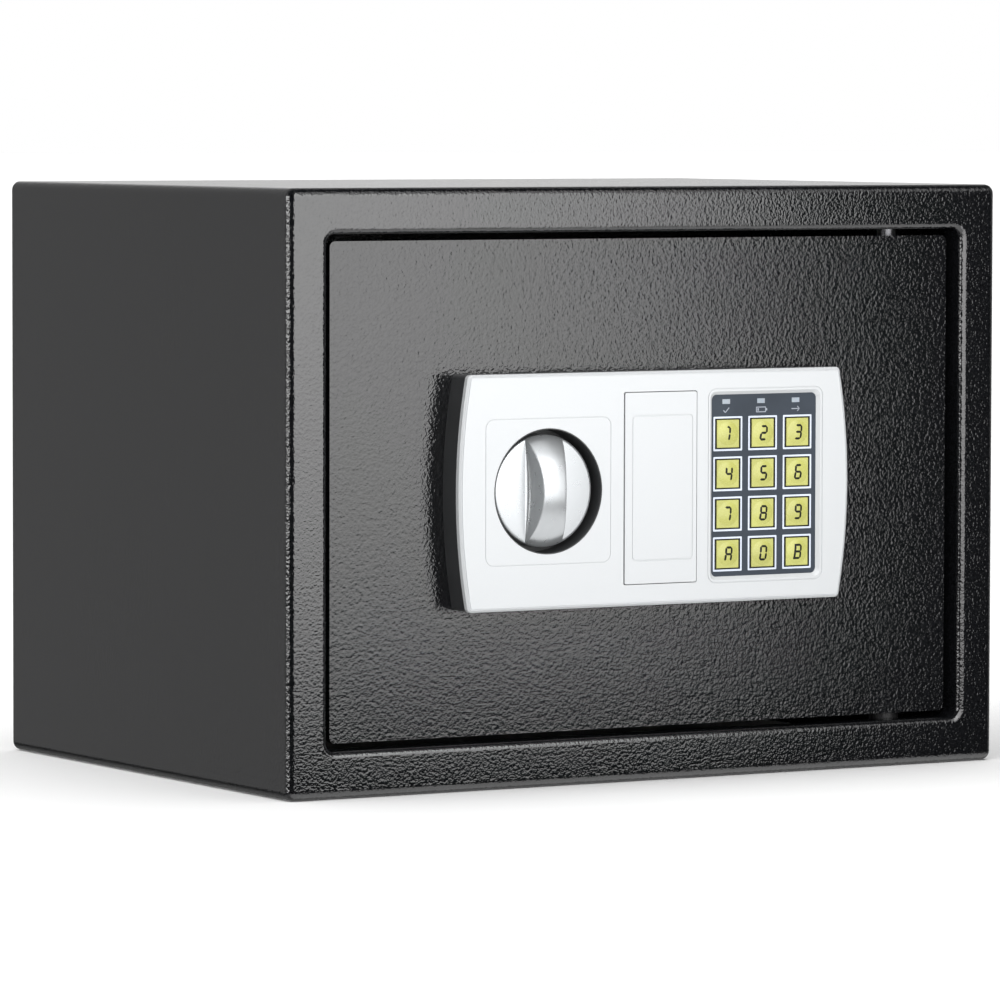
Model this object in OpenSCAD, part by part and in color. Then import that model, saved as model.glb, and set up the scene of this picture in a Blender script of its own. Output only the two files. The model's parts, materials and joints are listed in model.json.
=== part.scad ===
// Home safe: a folded steel cabinet with a recessed door, an electronic lock and an emergency key lock.
// X runs to the right, Y into the cabinet and Z up. The origin is the middle of the cabinet's underside.

/* [Cabinet] */
// Outer width
cabinet_w = 350; // [346:1:360]
// Outer depth
cabinet_d = 250; // [230:1:320]
// Outer height
cabinet_h = 250; // [248:1:256]
// Thickness of the folded sheet
sheet = 1.5; // [1.2:0.1:1.8]
// Radius along the long folded edges
fold_r = 4; // [3:0.5:6]
// Width of the face frame at each side of the door
frame_side = 18.25; // [18:0.25:19]
// Height of the face frame below the door
frame_bottom = 19.5; // [19:0.5:20]
// Height of the face frame above the door
frame_top = 19; // [18.5:0.5:20]
// Depth of the jamb, from the face of the frame
jamb_d = 12; // [10:0.5:12]
// Diameter of the anchor holes in the base and the back
anchor_d = 10; // [8:1:12]
// Distance between the two anchor holes of each pair
anchor_pitch = 200; // [150:5:240]

/* [Door] */
// How far the door's face lies behind the frame's face
door_recess = 6; // [5:0.5:7]
// Thickness of the door plate
door_t = 3; // [2.5:0.5:3.5]
// Gap between the door and the jamb at each side
side_gap = 4; // [3.5:0.1:4.2]
// Gap between the door and the jamb above and below
end_gap = 2.85; // [2.5:0.05:3]
// Depth of the boxed pan behind the door plate
pan_d = 36; // [36:0.5:38]
// Diameter of the hinge pins
hinge_pin_d = 8; // [7:0.5:8]

/* [Bolt work] */
// Diameter of each locking bolt
bolt_d = 16; // [12:1:18]
// Height of each bolt above or below the spindle
bolt_spread = 45; // [42:1:50]
// Travel of the bolts
bolt_throw = 16; // [14:1:16]
// Diameter of the knob's spindle
spindle_d = 8; // [6:1:8]

/* [Front panel] */
// Width of the panel between its curved ends
panel_w = 192.5; // [192:0.5:200]
// Height of the panel
panel_h = 98; // [96:0.5:104]
// Radius of the curved ends
panel_r = 266; // [200:1:400]
// How far the panel stands off the door
panel_stand = 14; // [13.5:0.1:15]
// Diameter of the round well for the knob
well_d = 51.5; // [50:0.5:54]
// Diameter of the knob
knob_d = 47; // [45:0.5:49]
// Width of the knob's grip at its ends
grip_w = 18.2; // [16:0.2:20]
// Height of the grip's crest above the knob's disc
grip_rise = 10; // [8:0.5:12]

/* [Keypad] */
// Width of a key cap
key_w = 11; // [10:0.1:12]
// Height of a key cap
key_h = 11.7; // [10:0.1:12]
// Distance between columns of keys
key_pitch_x = 17.5; // [17:0.1:17.6]
// Distance between rows of keys
key_pitch_z = 16.95; // [16.9:0.05:17]
// Travel of a key
key_travel = 0.8; // [0.5:0.1:1]

/* [Hidden] */
KEYS = ["key_1", "key_2", "key_3", "key_4", "key_5", "key_6", "key_7", "key_8", "key_9",
    "key_a", "key_0", "key_b"];
$fn = 64;

// Cuts run this far past the faces that they leave through.
past = 1;

// Planes from front to back.
front = -cabinet_d / 2;
back = cabinet_d / 2;
jamb_back = front + jamb_d;
door_front = front + door_recess;
door_back = door_front + door_t;
cover_front = door_back + pan_d;
cover_back = cover_front + sheet;

// Door opening and door.
opening_w = cabinet_w - 2 * frame_side;
opening_h = cabinet_h - frame_bottom - frame_top;
opening_z = frame_bottom + opening_h / 2;
jamb_r = 4;
door_w = opening_w - 2 * side_gap;
door_h = opening_h - 2 * end_gap;
door_r = 2.5;

// Boxed pan behind the door plate, and the lip that its cover screws to.
pan_x0 = -146;
pan_x1 = 147;
pan_z0 = opening_z - door_h / 2 + 3.65;
pan_z1 = opening_z + door_h / 2 - 3.15;
pan_x = (pan_x0 + pan_x1) / 2;
lip_w = 12;

// Screws that hold the cover on the pan, and the plate on the housing.
cover_screw_r = 1.9;
panel_screw_r = 1.5;

// Hinge line.
hinge_x = 130;
hinge_y = front + 18.5;
hinge_r = hinge_pin_d / 2;
running = 0.075;
bracket_t = 3;
bracket_w = 36;
lug_w = 24;
lug_h = 10;
pin_head_r = 5.5;
pin_head_t = 2;

// Front panel.
panel_x = -3.05;
panel_z = 123.85;
panel_corner_r = 2;
panel_front = door_front - panel_stand;
plate_t = 3;
plate_back = panel_front + plate_t;
plate_bevel = 0.9;
rim_gap = 0.1;
rim_line = 0.4;

// Knob and the parts on its spindle.
knob_x = -56.5;
spindle_z = 124;
spindle_r = spindle_d / 2;
disc_front = panel_front + 4;
disc_back = disc_front + 7;
well_floor = door_front - 2;
collar_wall = 0.45;
grip_waist = 11;
crank_reach = bolt_throw / 2;
crank_pin_r = 3;

// Bolt carriage, a plate that slides behind the crank.
carriage_front = cover_front - 13;
carriage_t = 2.5;
carriage_back = carriage_front + carriage_t;
crank_back = carriage_front - 2;
crank_front = crank_back - 3;
bolt_y = carriage_front - 9.5;
bolt_tip_x = -151;
bolt_flange_x = -127.5;
spine_x = -88;
spine_over = 12;
arm_end_x = 7.5;
arm_z0 = 126;
arm_z1 = 137;
// Guide studs: x, z and shank radius. Two hold the spine and a smaller one holds the arm.
STUDS = [[-112, 98, 3], [-112, 150, 3], [-28, 131.5, 2]];
slide_gap = 0.2;

// Emergency lock and its cover.
lock_x = -1.5;
barrel_r = 9.5;
plug_r = 6;
lock_front = door_front - 5;
barrel_back = door_back + 18;
cam_back = carriage_front - 2.5;
cam_t = 2;
cam_reach = 17;
cover_hole = [-1.6, 36.4, 80.8];
cover_size = [-1.4, 35.4, 80.1];
cover_t = 2.6;
tab_z = 34;
tab_w = 8;
tab_t = 1.2;
recess_w = 24;
recess_h = 44;

// Solenoid and its plunger, which drops beside the arm when the bolts are thrown.
plunger_y = carriage_front - 1;
plunger_r = 3.5;
plunger_z = 138.3;
collar_z = 141;
collar_t = 1.5;
coil_z0 = 148;
coil_z1 = 181;
coil_r = 8.5;

// Keypad window, overlay and board.
window_x = 50.9;
window_z = 123.9;
window_w = 58;
window_h = 82.2;
window_groove = 0.4;
window_lip = 0.9;
window_flare = 1.4;
window_depth = 1.35;
window_rim = window_groove + window_lip;
overlay_w = window_w - 3.4;
overlay_h = window_h - 3.6;
pocket_gap = 0.4;
overlay_front = panel_front + window_depth;
overlay_t = 0.75;
overlay_back = overlay_front + overlay_t;
keys_x = 50.25;
keys_z = 120.3;
key_front = overlay_front - 0.25;
flange_front = overlay_back + 0.1;
flange_back = flange_front + 0.6;
board_front = flange_back + key_travel + 0.2;
board_back = board_front + 1.6;
key_gap = 0.15;
flange_w = key_w + 2.4;
flange_h = key_h + 2.2;
led_z = 159.3;
led_shift = -0.85;
led_w = 3.85;
led_h = 2;

// Battery compartment.
battery_x = 74;
battery_z = 124;
cell_r = 7.1;
cell_l = 50.5;
cell_pitch = 14.8;
box_w = 60;
box_h = 56;
box_d = 18;
box_wall = 1.5;
lid_gap = 0.2;

// Reset button on the inside of the door.
reset_x = 120;
reset_z = 124;
reset_r = 3;
reset_collar_r = 4.3;

// Leads: their radius, and the points of their routes.
lead_hole = [50, 108];
KEYPAD_ROUTE = [[50, board_back, 108], [50, -122, 108], [50, -116, 108], [50, -111, 108], [50.5, -107, 108.5],
    [51.5, -104, 109.5], [52, -101.5, 110], [52, cover_front - box_d, 110]];
SOLENOID_ROUTE = [[7, -94, 166], [12, -94, 166], [19, -95, 163], [26, -96, 157], [32, -95, 151], [36, -93, 148],
    [39, -92, 147], [battery_x - box_w / 2 - box_wall, -92, 147]];
keypad_lead_r = 1.8;
solenoid_lead_r = 1.2;

// ---- Shapes that repeat ----

// A flat shape drawn in X and Z, made solid from y0 back to y1.
module slab(y0, y1) {
    translate([0, y1, 0]) rotate([90, 0, 0]) linear_extrude(y1 - y0) children();
}

// A round bar along Y.
module bar_y(x, z, r, y0, y1) {
    translate([x, y1, z]) rotate([90, 0, 0]) cylinder(h = y1 - y0, r = r);
}

// A round bar along Z.
module bar_z(x, y, r, z0, z1) {
    translate([x, y, z0]) cylinder(h = z1 - z0, r = r);
}

// A square-edged block between two opposite corners.
module block(low, high) {
    translate(low) cube(high - low);
}

// A flat rounded rectangle about its middle.
module rounded(w, h, r) {
    square([w - 2 * r, h], center = true);
    square([w, h - 2 * r], center = true);
    for (sx = [-1, 1], sz = [-1, 1])
        translate([sx * (w / 2 - r), sz * (h / 2 - r)]) circle(r);
}

// A flat slot with round ends, from x0 to x1.
module slot(x0, x1, z, r) {
    translate([x0, z]) circle(r);
    translate([x1, z]) circle(r);
    translate([x0, z - r]) square([x1 - x0, 2 * r]);
}

// A tube swept along a list of points, none of whose stretches is upright.
module tube(route, r, sides = 8) {
    last = len(route) - 1;
    rings = [for (i = [0:last])
        let (along = route[min(i + 1, last)] - route[max(i - 1, 0)],
            t = along / norm(along),
            side = cross(t, [0, 0, 1]) / norm(cross(t, [0, 0, 1])),
            up = cross(side, t))
        [for (k = [0:sides - 1]) route[i] + r * (side * cos(360 * k / sides) + up * sin(360 * k / sides))]];
    faces = concat(
        [[for (k = [0:sides - 1]) k]],
        [for (i = [0:last - 1], k = [0:sides - 1])
            [i * sides + k, (i + 1) * sides + k, (i + 1) * sides + (k + 1) % sides, i * sides + (k + 1) % sides]],
        [[for (k = [sides - 1:-1:0]) last * sides + k]]);
    polyhedron(points = [for (ring = rings, p = ring) p], faces = faces, convexity = 6);
}

// One quarter of the panel's outline: half of a long end arc, then the small corner arc.
function panel_quarter(inset) =
    let (small = panel_corner_r - inset,
        big = panel_r - inset,
        corner_z = panel_h / 2 - panel_corner_r,
        tilt = asin(corner_z / (big - small)),
        middle = panel_w / 2 - panel_r,
        corner_x = middle + (big - small) * cos(tilt),
        steps = 12)
    concat(
        [for (k = [0:steps]) let (a = tilt * (2 * k + 1) / (2 * steps + 1))
            [middle + big * cos(a), big * sin(a)]],
        [for (k = [1:6]) let (a = tilt + (90 - tilt) * k / 6)
            [corner_x + small * cos(a), corner_z + small * sin(a)]]);

module panel_outline(inset = 0) {
    q = panel_quarter(inset);
    n = len(q) - 1;
    translate([panel_x, panel_z]) polygon(concat(
        q,
        [for (i = [n:-1:0]) [-q[i].x, q[i].y]],
        [for (p = q) -p],
        [for (i = [n:-1:0]) [q[i].x, -q[i].y]]));
}

module opening(grow = 0) {
    translate([0, opening_z]) rounded(opening_w + 2 * grow, opening_h + 2 * grow, jamb_r + grow);
}

// Places of the six cover screws, and of the four panel screws.
COVER_SCREWS = [for (x = [pan_x0 + 7, pan_x, pan_x1 - 7], z = [pan_z0 + 7, pan_z1 - 7]) [x, z]];
PANEL_SCREWS = [[-91, 88], [-91, 160], [86.5, 96], [86.5, 152]];

// ---- Cabinet ----

module cabinet_shell() color("#3a3b3d") {
    difference() {
        slab(front, back) translate([0, cabinet_h / 2]) rounded(cabinet_w, cabinet_h, fold_r);
        slab(front + sheet, back + past) translate([0, cabinet_h / 2])
            rounded(cabinet_w - 2 * sheet, cabinet_h - 2 * sheet, fold_r - sheet);
        slab(front - past, front + sheet + past) opening();
        for (s = [-1, 1]) bar_z(s * anchor_pitch / 2, 0, anchor_d / 2, -past, sheet + past);
    }
    slab(front, jamb_back) difference() {
        opening(sheet);
        opening();
    }
}

module back_panel() color("#3a3b3d") difference() {
    slab(back - sheet, back) translate([0, cabinet_h / 2])
        rounded(cabinet_w - 2 * sheet, cabinet_h - 2 * sheet, fold_r - sheet);
    for (s = [-1, 1])
        bar_y(s * anchor_pitch / 2, cabinet_h / 2, anchor_d / 2, back - sheet - past, back + past);
}

// Each hinge bracket is welded to the outside of the jamb and to the back of the face frame.
bracket_top_z = cabinet_h - frame_top + sheet;
bracket_low_z = frame_bottom - sheet - bracket_t;

module hinge_brackets() color("#3a3b3d") for (z = [bracket_low_z, bracket_top_z]) difference() {
    block([hinge_x - bracket_w / 2, front + sheet, z], [hinge_x + bracket_w / 2, hinge_y + 10, z + bracket_t]);
    bar_z(hinge_x, hinge_y, hinge_r, z - past, z + bracket_t + past);
}

module hinge_pin_upper() color("silver") {
    bar_z(hinge_x, hinge_y, hinge_r, pan_z1 - sheet - lug_h + 0.5, bracket_top_z + bracket_t + pin_head_t);
    bar_z(hinge_x, hinge_y, pin_head_r, bracket_top_z + bracket_t, bracket_top_z + bracket_t + pin_head_t);
}

module hinge_pin_lower() color("silver") {
    bar_z(hinge_x, hinge_y, hinge_r, bracket_low_z - pin_head_t, pan_z0 + sheet + lug_h - 0.5);
    bar_z(hinge_x, hinge_y, pin_head_r, bracket_low_z - pin_head_t, bracket_low_z);
}

// Sleeve that carries the door's weight on the lower bracket.
module hinge_washer() color("#232426") difference() {
    bar_z(hinge_x, hinge_y, hinge_r + 2.2, bracket_low_z + bracket_t, pan_z0 - 0.1);
    bar_z(hinge_x, hinge_y, hinge_r, bracket_low_z, pan_z0 + past);
}

mat_t = 2;
module floor_mat() color("#26272a") difference() {
    block([-cabinet_w / 2 + 4, front + 4, sheet], [cabinet_w / 2 - 4, back - 4, sheet + mat_t]);
    for (s = [-1, 1]) bar_z(s * anchor_pitch / 2, 0, anchor_d / 2 + 3, 0, sheet + mat_t + past);
}

// ---- Door ----

module door_plate() color("#333437") difference() {
    slab(door_front, door_back) translate([0, opening_z]) rounded(door_w, door_h, door_r);
    bar_y(knob_x, spindle_z, 7, door_front - past, door_back + past);
    bar_y(lock_x, spindle_z, barrel_r, door_front - past, door_back + past);
    bar_y(lead_hole.x, lead_hole.y, 4, door_front - past, door_back + past);
    for (p = PANEL_SCREWS) bar_y(p.x, p.y, panel_screw_r + 0.2, door_front - past, door_back + past);
}

module door_pan() color("#333437") difference() {
    block([pan_x0, door_back, pan_z0], [pan_x1, cover_front, pan_z1]);
    block([pan_x0 + sheet, door_back - past, pan_z0 + sheet],
        [pan_x1 - sheet, cover_front - sheet, pan_z1 - sheet]);
    block([pan_x0 + sheet + lip_w, door_back - past, pan_z0 + sheet + lip_w],
        [pan_x1 - sheet - lip_w, cover_front + past, pan_z1 - sheet - lip_w]);
    for (s = [-1, 1]) translate([pan_x0 - past, bolt_y, spindle_z + s * bolt_spread])
        rotate([0, 90, 0]) cylinder(h = sheet + 2 * past, r = bolt_d / 2 + 0.3);
    bar_z(hinge_x, hinge_y, hinge_r + 0.6, pan_z0 - past, pan_z0 + sheet + past);
    bar_z(hinge_x, hinge_y, hinge_r + 0.6, pan_z1 - sheet - past, pan_z1 + past);
    for (p = COVER_SCREWS) bar_y(p.x, p.y, cover_screw_r, cover_front - sheet - past, cover_front + past);
}

// Blocks welded inside the pan that turn on the hinge pins.
module hinge_lugs() color("#8d9093") for (z = [pan_z0 + sheet, pan_z1 - sheet - lug_h]) difference() {
    block([hinge_x - lug_w / 2, door_back, z], [hinge_x + lug_w / 2, hinge_y + 9.5, z + lug_h]);
    bar_z(hinge_x, hinge_y, hinge_r + running, z - past, z + lug_h + past);
}

module back_cover() color("#333437") difference() {
    block([pan_x0, cover_front, pan_z0], [pan_x1, cover_back, pan_z1]);
    slab(cover_front - past, cover_back + past) translate([battery_x, battery_z])
        square([box_w + 2 * box_wall + 2 * lid_gap, box_h + 2 * box_wall + 2 * lid_gap], center = true);
    bar_y(reset_x, reset_z, reset_r + 0.4, cover_front - past, cover_back + past);
    for (p = COVER_SCREWS) bar_y(p.x, p.y, cover_screw_r + 0.3, cover_front - past, cover_back + past);
}

module cover_screws() color("#b9bcc0") for (p = COVER_SCREWS) {
    bar_y(p.x, p.y, cover_screw_r, cover_front - 4, cover_back + 0.5);
    difference() {
        bar_y(p.x, p.y, 3.6, cover_back, cover_back + 2);
        slab(cover_back + 1, cover_back + 3) translate(p) square([3.6, 0.9], center = true);
        slab(cover_back + 1, cover_back + 3) translate(p) square([0.9, 3.6], center = true);
    }
}

// ---- Battery compartment and reset button ----

box_front = cover_front - box_d;

module battery_box() color("#202124") difference() {
    union() {
        slab(box_front, cover_front) translate([battery_x, battery_z])
            square([box_w + 2 * box_wall, box_h + 2 * box_wall], center = true);
        slab(cover_front - 1.5, cover_front) translate([battery_x, battery_z])
            square([box_w + 11, box_h + 11], center = true);
    }
    slab(box_front + box_wall, cover_front + past) translate([battery_x, battery_z])
        square([box_w, box_h], center = true);
}

cell_y = box_front + box_wall + cell_r + 0.3;
cap_l = 1.5;

// Four cells side by side, with every second one upside down.
module batteries() color("#2f6f9f") for (i = [0:3])
    translate([battery_x + (i - 1.5) * cell_pitch, cell_y, battery_z]) rotate([180 * (i % 2), 0, 0]) {
        translate([0, 0, -cell_l / 2]) cylinder(h = cell_l - cap_l, r = cell_r);
        translate([0, 0, cell_l / 2 - cap_l - 0.5]) cylinder(h = cap_l + 0.5, r = 2.75);
    }

// A plate on the end wall and a sprung button that meets the cell, at both ends of each cell.
module battery_contacts() color("#c9ccd0") for (i = [0:3], s = [-1, 1])
    translate([battery_x + (i - 1.5) * cell_pitch, cell_y, battery_z]) {
        translate([-5, -5, s * (box_h / 2 - 0.25) - 0.25]) cube([10, 10, 0.5]);
        translate([0, 0, s > 0 ? cell_l / 2 : -box_h / 2 + 0.2])
            cylinder(h = (box_h - cell_l) / 2 - 0.2, r = 2.4);
    }

// Lid with two hooks and a row of grip ribs.
module battery_lid() color("#2a2b2e") translate([battery_x, 0, battery_z]) {
    slab(cover_front, cover_back) square([box_w + 2 * box_wall, box_h + 2 * box_wall], center = true);
    for (s = [-1, 1]) slab(cover_front - 2, cover_front + 0.5)
        translate([0, s * (box_h / 2 - 0.8)]) square([9, 1.2], center = true);
    for (k = [-2:2]) slab(cover_back - 0.5, cover_back + 0.8)
        translate([0, box_h / 2 - 10 + 2.6 * k]) square([16, 1.1], center = true);
}

module reset_switch() color("#202124") difference() {
    slab(cover_front - 12, cover_front) translate([reset_x, reset_z]) square([14, 14], center = true);
    bar_y(reset_x, reset_z, reset_r + 0.1, cover_front - 9, cover_front + past);
    bar_y(reset_x, reset_z, reset_collar_r + 0.4, cover_front - 6, cover_front - 1.2);
}

module reset_button() color("firebrick") {
    bar_y(reset_x, reset_z, reset_r, cover_front - 7, cover_back + 1);
    bar_y(reset_x, reset_z, reset_collar_r, cover_front - 3, cover_front - 1.4);
}

// ---- Front panel ----

module at_cover(c) {
    translate([c.x, spindle_z]) children();
}

// The cover's two snap tabs, or with some clearance the slots that they enter.
module tabs(gap, y0, y1) {
    for (s = [-1, 1]) slab(y0, y1)
        translate([cover_size.x, spindle_z + s * tab_z]) square([tab_w + gap, tab_t + gap], center = true);
}

// Housing. A thin collar lines the plate's round hole right up to the front.
module panel_base() color("#2a2b2e") difference() {
    union() {
        slab(plate_back, door_front) panel_outline(0.25);
        bar_y(knob_x, spindle_z, well_d / 2 + collar_wall, panel_front + 0.1, plate_back + past);
    }
    bar_y(knob_x, spindle_z, well_d / 2, panel_front - past, well_floor);
    bar_y(knob_x, spindle_z, spindle_r + 1, plate_back, door_front + past);
    slab(plate_back - past, door_front + past) translate([lock_x, spindle_z])
        rounded(recess_w, recess_h, 3);
    tabs(0.8, plate_back - past, plate_back + 4.5);
    slab(plate_back - past, board_back) translate([window_x, window_z])
        rounded(overlay_w + 0.6, overlay_h + 0.6, 2);
    slab(plate_back, well_floor) translate([window_x, window_z]) rounded(overlay_w - 5.6, overlay_h - 5.6, 2);
    bar_y(lead_hole.x, lead_hole.y, 4, well_floor - past, door_front + past);
    for (p = PANEL_SCREWS) bar_y(p.x, p.y, panel_screw_r, door_front - 6, door_front + past);
}

module panel_screws() color("#b9bcc0") for (p = PANEL_SCREWS) {
    bar_y(p.x, p.y, panel_screw_r, door_front - 5.5, door_back + 0.5);
    bar_y(p.x, p.y, 2 * panel_screw_r, door_back, door_back + 2.2);
}

// Shallow line cut into the front of the panel between two outlines.
module engrave(depth) {
    slab(panel_front - past, panel_front + depth) difference() {
        children(0);
        children(1);
    }
}

// Keypad window: a lip that is set off by a groove, a slope down to the overlay, and the overlay's pocket.
module window_shape(inset, r) {
    translate([window_x, window_z]) rounded(window_w - 2 * inset, window_h - 2 * inset, r);
}

module window_cut() {
    over = 0.5;
    grow = window_flare * over / window_depth;
    hull() {
        slab(panel_front - over, panel_front - over + 0.01) window_shape(window_rim - grow, 3);
        slab(overlay_front - 0.01, overlay_front) window_shape(window_rim + window_flare, 2.4);
    }
    slab(panel_front, plate_back + past) window_shape(window_rim + window_flare, 2.4);
    slab(overlay_front, plate_back + past) translate([window_x, window_z])
        rounded(overlay_w + pocket_gap, overlay_h + pocket_gap, 2);
}

module face_plate() color("#e4e8ec") difference() {
    union() {
        slab(panel_front + plate_bevel, plate_back) panel_outline();
        hull() {
            slab(panel_front, panel_front + 0.01) panel_outline(plate_bevel);
            slab(panel_front + plate_bevel, panel_front + plate_bevel + 0.01) panel_outline();
        }
    }
    bar_y(knob_x, spindle_z, well_d / 2 + collar_wall, panel_front - past, plate_back + past);
    slab(panel_front - past, plate_back + past) at_cover(cover_hole) rounded(cover_hole.y, cover_hole.z, 1);
    window_cut();
    engrave(0.3) {
        panel_outline(plate_bevel + rim_gap);
        panel_outline(plate_bevel + rim_gap + rim_line);
    }
    engrave(0.3) {
        window_shape(0, 4);
        window_shape(window_groove, 3.6);
    }
    engrave(0.25) {
        translate([knob_x, spindle_z]) rounded(61, 61, 4);
        translate([knob_x, spindle_z]) rounded(60.3, 60.3, 3.65);
    }
}

// Cover of the emergency lock, held by two snap tabs.
module key_cover() color("#eef1f4") difference() {
    union() {
        slab(panel_front, panel_front + cover_t) at_cover(cover_size) rounded(cover_size.y, cover_size.z, 0.8);
        tabs(0, panel_front + 1, plate_back + 3.5);
    }
    engrave(0.25) {
        translate([-0.75, spindle_z]) rounded(30.3, 61.3, 2);
        translate([-0.75, spindle_z]) rounded(28.9, 59.9, 1.4);
    }
}

// ---- Keypad ----

// Middle of the key in a column and row, each counted from 0 at the top left.
function key_place(i) = [keys_x + (i % 3 - 1) * key_pitch_x, keys_z - (floor(i / 3) - 1.5) * key_pitch_z];
function led_place(i) = [key_place(i).x + led_shift, led_z];

module keypad_overlay() color("#454c57") slab(overlay_front, overlay_back) difference() {
    translate([window_x, window_z]) rounded(overlay_w, overlay_h, 1.8);
    for (i = [0:11]) translate(key_place(i)) square([key_w + 2 * key_gap, key_h + 2 * key_gap], center = true);
    for (i = [0:2]) translate(led_place(i)) square([led_w, led_h], center = true);
}

module led_windows() color("#b8bcc4") for (i = [0:2])
    slab(overlay_front - 0.05, board_front) translate(led_place(i)) square([led_w, led_h], center = true);

// A key: a square cap with a shallow dome, and a flange that stays behind the overlay.
dome_r = 5.1;
dome_rise = 0.9;
dome_ball = (dome_r * dome_r + dome_rise * dome_rise) / (2 * dome_rise);

module key(i) color("#dcdc7c") translate([key_place(i).x, 0, key_place(i).y]) {
    slab(key_front, flange_back) square([key_w, key_h], center = true);
    slab(flange_front, flange_back) square([flange_w, flange_h], center = true);
    intersection() {
        translate([0, key_front - dome_rise + dome_ball, 0]) sphere(dome_ball);
        block([-key_w / 2, key_front - past, -key_h / 2], [key_w / 2, key_front + 0.2, key_h / 2]);
    }
}

module keypad_board() color("#1f5a3a") {
    slab(board_front, board_back) translate([window_x, window_z])
        rounded(overlay_w - 0.6, overlay_h - 0.6, 1);
    block([window_x - 18, board_back - 0.5, 112], [window_x - 8, board_back + 1.8, 126]);
    block([window_x - 20, board_back - 0.5, 140], [window_x - 6, board_back + 2.5, 146]);
}

module buzzer() color("#17181a") difference() {
    bar_y(window_x + 12, 140, 6, board_back, board_back + 5);
    bar_y(window_x + 12, 140, 1, board_back + 4, board_back + 6);
}

module lead_grommet() color("#17181a") difference() {
    union() {
        bar_y(lead_hole.x, lead_hole.y, 4, well_floor - 1, door_back + 1);
        bar_y(lead_hole.x, lead_hole.y, 6, door_back, door_back + 2);
    }
    bar_y(lead_hole.x, lead_hole.y, keypad_lead_r + 0.2, well_floor - 2, door_back + 3);
}

module keypad_lead() color("#c23b34") tube(KEYPAD_ROUTE, keypad_lead_r);
module solenoid_lead() color("#c23b34") tube(SOLENOID_ROUTE, solenoid_lead_r);

// ---- Knob, spindle and crank ----

// The grip is a waisted bar whose crest follows an arc from rim to rim.
module knob() color("#c9ccd0") difference() {
    half = knob_d / 2;
    crest_r = (half * half + grip_rise * grip_rise) / (2 * grip_rise);
    scoop = (grip_w - grip_waist) / 2;
    scoop_r = (half * half + scoop * scoop) / (2 * scoop);
    union() {
        bar_y(knob_x, spindle_z, half, disc_front, disc_back);
        intersection() {
            slab(disc_front - grip_rise, disc_front + past) translate([knob_x, spindle_z]) difference() {
                intersection() {
                    circle(half - 0.3);
                    square([grip_w, knob_d], center = true);
                }
                for (s = [-1, 1]) translate([s * (grip_waist / 2 + scoop_r), 0]) circle(scoop_r, $fn = 256);
            }
            translate([knob_x - half, disc_front - grip_rise + crest_r, spindle_z])
                rotate([0, 90, 0]) cylinder(h = knob_d, r = crest_r, $fn = 128);
        }
    }
    bar_y(knob_x, spindle_z, spindle_r, disc_front + 3, disc_back + past);
}

module spindle() color("#b9bcc0") difference() {
    bar_y(knob_x, spindle_z, spindle_r, disc_front + 3, crank_back);
    bar_y(knob_x, spindle_z, 2, crank_back - 10, crank_back + past);
}

module spindle_bush() color("#b08d3c") difference() {
    union() {
        bar_y(knob_x, spindle_z, 7, door_front, door_back + 6);
        bar_y(knob_x, spindle_z, 10, door_back, door_back + 2);
    }
    bar_y(knob_x, spindle_z, spindle_r + 0.06, door_front - past, door_back + 7);
}

// The pin stands as far to the right of the spindle as above it, so a quarter turn moves it straight left.
module crank() color("#9da0a4") difference() {
    union() {
        bar_y(knob_x, spindle_z, 8, crank_front - 3, crank_back);
        slab(crank_front, crank_back) translate([knob_x, spindle_z]) rotate(45)
            slot(0, crank_reach * sqrt(2), 0, 6);
        bar_y(knob_x + crank_reach, spindle_z + crank_reach, crank_pin_r, crank_front, carriage_back + 2.5);
    }
    bar_y(knob_x, spindle_z, spindle_r, crank_front - 4, crank_back + past);
}

module crank_screw() color("#b9bcc0") {
    bar_y(knob_x, spindle_z, 2, crank_back - 9, crank_back + 0.5);
    bar_y(knob_x, spindle_z, 4.6, crank_back, crank_back + 1.5);
}

// ---- Bolt carriage ----

spine_low = spindle_z - bolt_spread - spine_over;
spine_high = spindle_z + bolt_spread + spine_over;

module carriage_plate() color("#b9bcc0") difference() {
    union() {
        slab(carriage_front, carriage_back) {
            translate([bolt_flange_x, spine_low]) square([spine_x - bolt_flange_x, spine_high - spine_low]);
            translate([spine_x - past, 118]) square([knob_x + 21 - spine_x, 30]);
            translate([knob_x, arm_z0]) square([arm_end_x - knob_x, arm_z1 - arm_z0]);
        }
        block([bolt_flange_x, bolt_y - 9, spine_low], [bolt_flange_x + carriage_t, carriage_back, spine_high]);
    }
    // Upright slot for the crank pin, and level slots for the guide studs.
    slab(carriage_front - past, carriage_back + past) translate([knob_x + crank_reach, spindle_z])
        rotate(90) slot(crank_reach, crank_reach * sqrt(2), 0, crank_pin_r + 0.6);
    slab(carriage_front - past, carriage_back + past)
        for (s = STUDS) slot(s.x, s.x + bolt_throw, s.y, s.z + slide_gap);
    for (s = [-1, 1]) translate([bolt_flange_x - past, bolt_y, spindle_z + s * bolt_spread])
        rotate([0, 90, 0]) cylinder(h = carriage_t + 2 * past, r = 4);
}

module bolts() color("#d5d8dc") for (s = [-1, 1])
    translate([bolt_tip_x, bolt_y, spindle_z + s * bolt_spread]) rotate([0, 90, 0]) {
        translate([0, 0, 1]) cylinder(h = bolt_flange_x - bolt_tip_x - 1, r = bolt_d / 2);
        cylinder(h = 1, r1 = bolt_d / 2 - 1, r2 = bolt_d / 2);
        translate([0, 0, 2]) cylinder(h = bolt_flange_x - bolt_tip_x - 2 + carriage_t, r = 4);
    }

// Shouldered studs on the door plate that the carriage slides on, and the clips that hold it there.
module guide_studs() color("#9da0a4") for (s = STUDS) {
    bar_y(s.x, s.y, s.z + 1.8, door_back, carriage_front - slide_gap);
    bar_y(s.x, s.y, s.z, carriage_front - 1, carriage_back + 2);
}

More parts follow.
